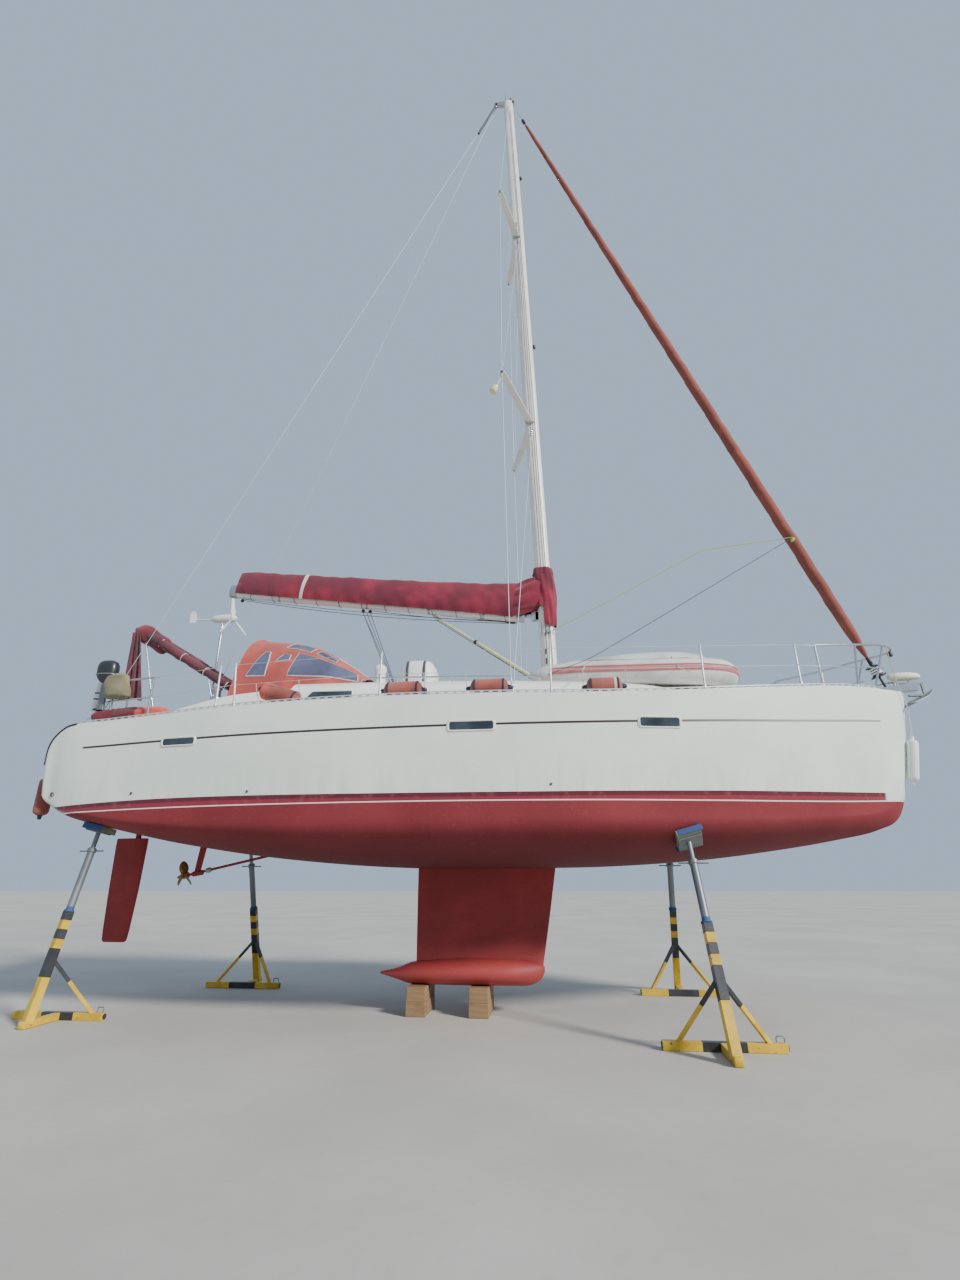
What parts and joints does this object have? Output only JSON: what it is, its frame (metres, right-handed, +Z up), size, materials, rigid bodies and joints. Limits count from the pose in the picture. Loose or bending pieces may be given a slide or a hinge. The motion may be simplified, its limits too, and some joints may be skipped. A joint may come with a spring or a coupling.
{
  "type": "cruising sailing yacht on boat stands",
  "caption": "Cruising sailing yacht ashore on keel blocks and boat stands, with fin keel, spade rudder, covered boom, furled headsail, sprayhood and upturned dinghy on deck.",
  "frame": {"origin": "on the ground, at the centre line, midway between the tip of the anchor and the back of the stern fender", "axes": "+X to the bow, +Y to port, +Z up"},
  "size_m": [12.72, 4.54, 19.043],
  "materials": {
    "hull_gelcoat": "off-white gelcoat topsides with a dark red boot stripe, red bottom paint and a grey line",
    "antifouling": "matt red-brown bottom paint",
    "bronze": "dull bronze",
    "deck_gelcoat": "satin white moulding with a non-slip pattern",
    "smoked_acrylic": "smoked acrylic",
    "stainless": "polished stainless steel",
    "galvanised": "galvanised steel",
    "white_spar": "white painted aluminium",
    "wire": "stranded stainless wire",
    "red_canvas": "burgundy acrylic canvas",
    "vang_paint": "pale green painted tube",
    "white_plastic": "white plastic",
    "black_plastic": "black engine cowl",
    "dinghy_fabric": "pale grey coated fabric with a red strake",
    "fender_cover": "faded red fleece cover with navy ends",
    "timber": "rough sawn timber",
    "stand_paint": "yellow paint with black bands, scuffed"
  },
  "bodies": {
    "root": {"hull": "hull_gelcoat", "keel": "antifouling", "shaft_and_strut": "antifouling", "deckhouse": "deck_gelcoat", "washboard": "smoked_acrylic", "toe_rail_port": "stainless", "toe_rail_starboard": "stainless", "pulpit": "stainless", "pushpit_port": "stainless", "pushpit_starboard": "stainless", "bow_roller": "stainless", "anchor": "galvanised", "mast": "white_spar", "spreader_lower_port": "white_spar", "spreader_lower_starboard": "white_spar", "spreader_upper_port": "white_spar", "spreader_upper_starboard": "white_spar", "cap_shroud_port": "wire", "cap_shroud_starboard": "wire", "lower_shroud_port": "wire", "lower_shroud_starboard": "wire", "backstay_port": "wire", "backstay_starboard": "wire", "forestay_furled_sail": "red_canvas", "mast_collar": "red_canvas", "steering_pedestal": "white_plastic", "sprayhood": "red_canvas", "dinghy": "dinghy_fabric", "fender_1": "fender_cover", "fender_2": "fender_cover", "fender_3": "fender_cover", "fender_4": "fender_cover", "fender_bow": "white_plastic", "fender_stern": "fender_cover", "outboard_engine": "black_plastic", "raft_canister": "white_plastic", "generator_pole": "white_spar", "keel_block_aft": "timber", "keel_block_fore": "timber", "stand_fore_starboard": "stand_paint", "stand_fore_port": "stand_paint", "stand_aft_starboard": "stand_paint", "stand_aft_port": "stand_paint"},
    "rudder": {"rudder": "antifouling"},
    "steering_wheel": {"steering_wheel": "stainless"},
    "propeller": {"propeller": "bronze"},
    "boom": {"boom": "white_spar", "boom_vang": "vang_paint", "sail_cover": "red_canvas"},
    "companion_hatch": {"companion_hatch": "smoked_acrylic"},
    "saloon_hatch": {"saloon_hatch": "smoked_acrylic"},
    "anchor_locker_lid": {"anchor_locker_lid": "deck_gelcoat"},
    "locker_lid_port": {"locker_lid_port": "deck_gelcoat"},
    "locker_lid_starboard": {"locker_lid_starboard": "deck_gelcoat"},
    "winch_port": {"winch_port": "stainless"},
    "winch_starboard": {"winch_starboard": "stainless"},
    "bimini": {"bimini": "red_canvas"},
    "generator_head": {"generator_head": "white_plastic"},
    "generator_rotor": {"generator_rotor": "white_plastic"},
    "boarding_ladder": {"boarding_ladder": "stainless"}
  },
  "joints": [
    {"name": "rudder_turn", "type": "hinge", "parent": "root", "child": "rudder", "pos_m": [-5.47, 0, 2.363], "axis": [0, 0, 1], "range_deg": [-35, 35]},
    {"name": "wheel_turn", "type": "hinge", "parent": "root", "child": "steering_wheel", "pos_m": [-4.47, 0, 3.923], "axis": [1, 0, 0], "range_deg": [-270, 270]},
    {"name": "propeller_spin", "type": "hinge", "parent": "root", "child": "propeller", "pos_m": [-4.56, 0, 1.723], "axis": [-0.9778, 0, -0.2095], "continuous": true},
    {"name": "boom_swing", "type": "hinge", "parent": "root", "child": "boom", "pos_m": [0.69, 0, 5.613], "axis": [0, 0, 1], "range_deg": [-60, 60]},
    {"name": "companion_hatch_slide", "type": "slide", "parent": "root", "child": "companion_hatch", "axis": [1, 0, 0], "range_m": [0, 0.42]},
    {"name": "saloon_hatch_open", "type": "hinge", "parent": "root", "child": "saloon_hatch", "pos_m": [-0.04, 0, 4.3483], "axis": [0, 1, 0], "range_deg": [0, 90]},
    {"name": "anchor_locker_lid_open", "type": "hinge", "parent": "root", "child": "anchor_locker_lid", "pos_m": [4.56, 0, 4.085], "axis": [0, -1, 0], "range_deg": [0, 95]},
    {"name": "locker_lid_port_open", "type": "hinge", "parent": "root", "child": "locker_lid_port", "pos_m": [-3.4, 0.7, 3.4933], "axis": [-1, 0, 0], "range_deg": [0, 80]},
    {"name": "locker_lid_starboard_open", "type": "hinge", "parent": "root", "child": "locker_lid_starboard", "pos_m": [-3.4, -0.7, 3.4933], "axis": [1, 0, 0], "range_deg": [0, 80]},
    {"name": "winch_port_spin", "type": "hinge", "parent": "root", "child": "winch_port", "pos_m": [-3.95, 1, 4.1], "axis": [0, 0, 1], "continuous": true},
    {"name": "winch_starboard_spin", "type": "hinge", "parent": "root", "child": "winch_starboard", "pos_m": [-3.95, -1, 4.1], "axis": [0, 0, 1], "continuous": true},
    {"name": "bimini_swing", "type": "hinge", "parent": "root", "child": "bimini", "pos_m": [-3.62, 0, 4.223], "axis": [0, 1, 0], "range_deg": [0, 25]},
    {"name": "generator_swivel", "type": "hinge", "parent": "root", "child": "generator_head", "pos_m": [-5.33, 1.18, 6.3], "axis": [0, 0, 1], "continuous": true},
    {"name": "generator_spin", "type": "hinge", "parent": "generator_head", "child": "generator_rotor", "pos_m": [-5.15, 1.18, 6.383], "axis": [1, 0, 0], "continuous": true},
    {"name": "boarding_ladder_fold", "type": "hinge", "parent": "root", "child": "boarding_ladder", "pos_m": [-6.185, 0, 2.818], "axis": [0, -1, 0], "range_deg": [0, 165]}
  ],
  "couplings": [
    {"joint": "wheel_turn", "follows": "rudder_turn", "ratio": 7.7143}
  ]
}
